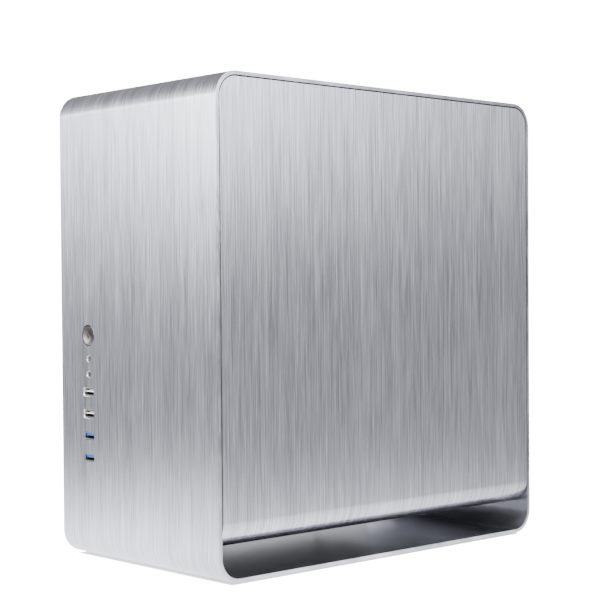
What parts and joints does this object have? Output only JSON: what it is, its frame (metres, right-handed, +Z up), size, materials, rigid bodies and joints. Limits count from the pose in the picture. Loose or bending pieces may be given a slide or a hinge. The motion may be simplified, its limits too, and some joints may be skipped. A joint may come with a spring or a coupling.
{
  "type": "micro tower computer",
  "caption": "Compact desktop tower computer with a wrapped rounded aluminium shell, rolled side panels over an open air channel, and front button and sockets.",
  "frame": {"origin": "on the ground plane, under the middle of the case", "axes": "+Z up, the front faces -Y, +X is the right-hand side seen from the front"},
  "size_m": [0.205, 0.368, 0.3875],
  "materials": {
    "silver_case": "brushed and anodised, satin",
    "steel_sheet": "plain zinc-plated sheet",
    "black_plastic": "moulded, fine matt",
    "grey_plastic": "moulded, fine matt",
    "white_plastic": "moulded nylon",
    "blue_plastic": "moulded, semi-gloss",
    "rubber": "matt",
    "turned_metal": "turned and anodised",
    "tin_plate": "tin-plated sheet, bright",
    "screw_steel": "nickel-plated",
    "brass": "turned",
    "circuit_board": "solder mask over glass fibre laminate",
    "bare_aluminium": "mill finish",
    "nickel_copper": "nickel-plated copper",
    "black_case": "powder coated",
    "filter_cloth": "woven nylon mesh"
  },
  "bodies": {
    "chassis": {"outer_shell": "silver_case", "feet": "rubber", "stud_clips": "white_plastic", "left_side_frame": "steel_sheet", "right_side_frame": "steel_sheet", "bottom_plate": "steel_sheet", "motherboard_tray": "steel_sheet", "filter_rails": "black_plastic", "rear_fan_frame": "black_plastic", "cooler_fan_frame": "black_plastic", "bottom_fan_frames": "black_plastic", "psu_fan_frame": "black_plastic", "psu_case": "black_case", "psu_circuit_board": "circuit_board", "mains_inlet": "black_plastic", "inlet_pins": "tin_plate", "switch_frame": "black_plastic", "motherboard": "circuit_board", "standoffs": "brass", "case_screws": "screw_steel", "processor_socket": "black_plastic", "processor": "nickel_copper", "cooler_heat_pipes": "nickel_copper", "cooler_fins": "bare_aluminium", "board_slots": "black_plastic", "memory_modules": "circuit_board", "rear_sockets": "tin_plate", "rear_usb_tongues": "black_plastic", "rear_audio_sockets": "black_plastic", "io_shield": "tin_plate", "slot_covers": "silver_case", "slot_rail": "steel_sheet", "board_heatsinks": "bare_aluminium", "board_connectors": "black_plastic", "capacitors_and_battery": "tin_plate", "drive_cage": "steel_sheet", "hard_drives": "bare_aluminium", "solid_state_drive": "black_case", "button_guide": "black_plastic", "button_switch": "black_plastic", "front_io_board": "circuit_board", "front_io_bracket": "steel_sheet", "usb_shells": "tin_plate", "usb2_tongues": "white_plastic", "usb3_tongues": "blue_plastic", "audio_jacks": "tin_plate"},
    "left_panel": {"left_side_panel": "silver_case", "left_panel_studs": "screw_steel"},
    "right_panel": {"right_side_panel": "silver_case", "right_panel_studs": "screw_steel"},
    "button": {"power_button": "turned_metal", "switch_plunger": "black_plastic"},
    "filter": {"filter_tray": "black_plastic", "filter_mesh": "filter_cloth"},
    "rocker": {"switch_rocker": "black_plastic"},
    "rear_fan": {"rear_fan_rotor": "grey_plastic"},
    "cooler_fan": {"cooler_fan_rotor": "grey_plastic"},
    "psu_fan": {"psu_fan_rotor": "grey_plastic"},
    "front_bottom_fan": {"front_bottom_fan_rotor": "grey_plastic"},
    "back_bottom_fan": {"back_bottom_fan_rotor": "grey_plastic"}
  },
  "joints": [
    {"name": "power_button_press", "type": "slide", "parent": "chassis", "child": "button", "axis": [0, 1, 0], "range_m": [0, 0.0015], "stiffness_N_per_m": 400, "springref_m": -0.001},
    {"name": "left_panel_pull", "type": "slide", "parent": "chassis", "child": "left_panel", "axis": [-1, 0, 0], "range_m": [0, 0.12]},
    {"name": "right_panel_pull", "type": "slide", "parent": "chassis", "child": "right_panel", "axis": [1, 0, 0], "range_m": [0, 0.12]},
    {"name": "dust_filter_slide", "type": "slide", "parent": "chassis", "child": "filter", "axis": [-1, 0, 0], "range_m": [0, 0.14]},
    {"name": "psu_switch_rock", "type": "hinge", "parent": "chassis", "child": "rocker", "pos_m": [-0.006, 0.1785, 0.338], "axis": [1, 0, 0], "range_deg": [-16, 0]},
    {"name": "rear_fan_spin", "type": "hinge", "parent": "chassis", "child": "rear_fan", "pos_m": [-0.0275, 0.1685, 0.22], "axis": [0, 1, 0], "continuous": true},
    {"name": "cooler_fan_spin", "type": "hinge", "parent": "chassis", "child": "cooler_fan", "pos_m": [-0.0235, 0.0575, 0.205], "axis": [0, 1, 0], "continuous": true},
    {"name": "psu_fan_spin", "type": "hinge", "parent": "chassis", "child": "psu_fan", "pos_m": [0, 0.109, 0.2945], "axis": [0, 0, 1], "continuous": true},
    {"name": "front_bottom_fan_spin", "type": "hinge", "parent": "chassis", "child": "front_bottom_fan", "pos_m": [-0.008, -0.112, 0.0445], "axis": [0, 0, 1], "continuous": true},
    {"name": "back_bottom_fan_spin", "type": "hinge", "parent": "chassis", "child": "back_bottom_fan", "pos_m": [-0.008, 0.016, 0.0445], "axis": [0, 0, 1], "continuous": true}
  ]
}
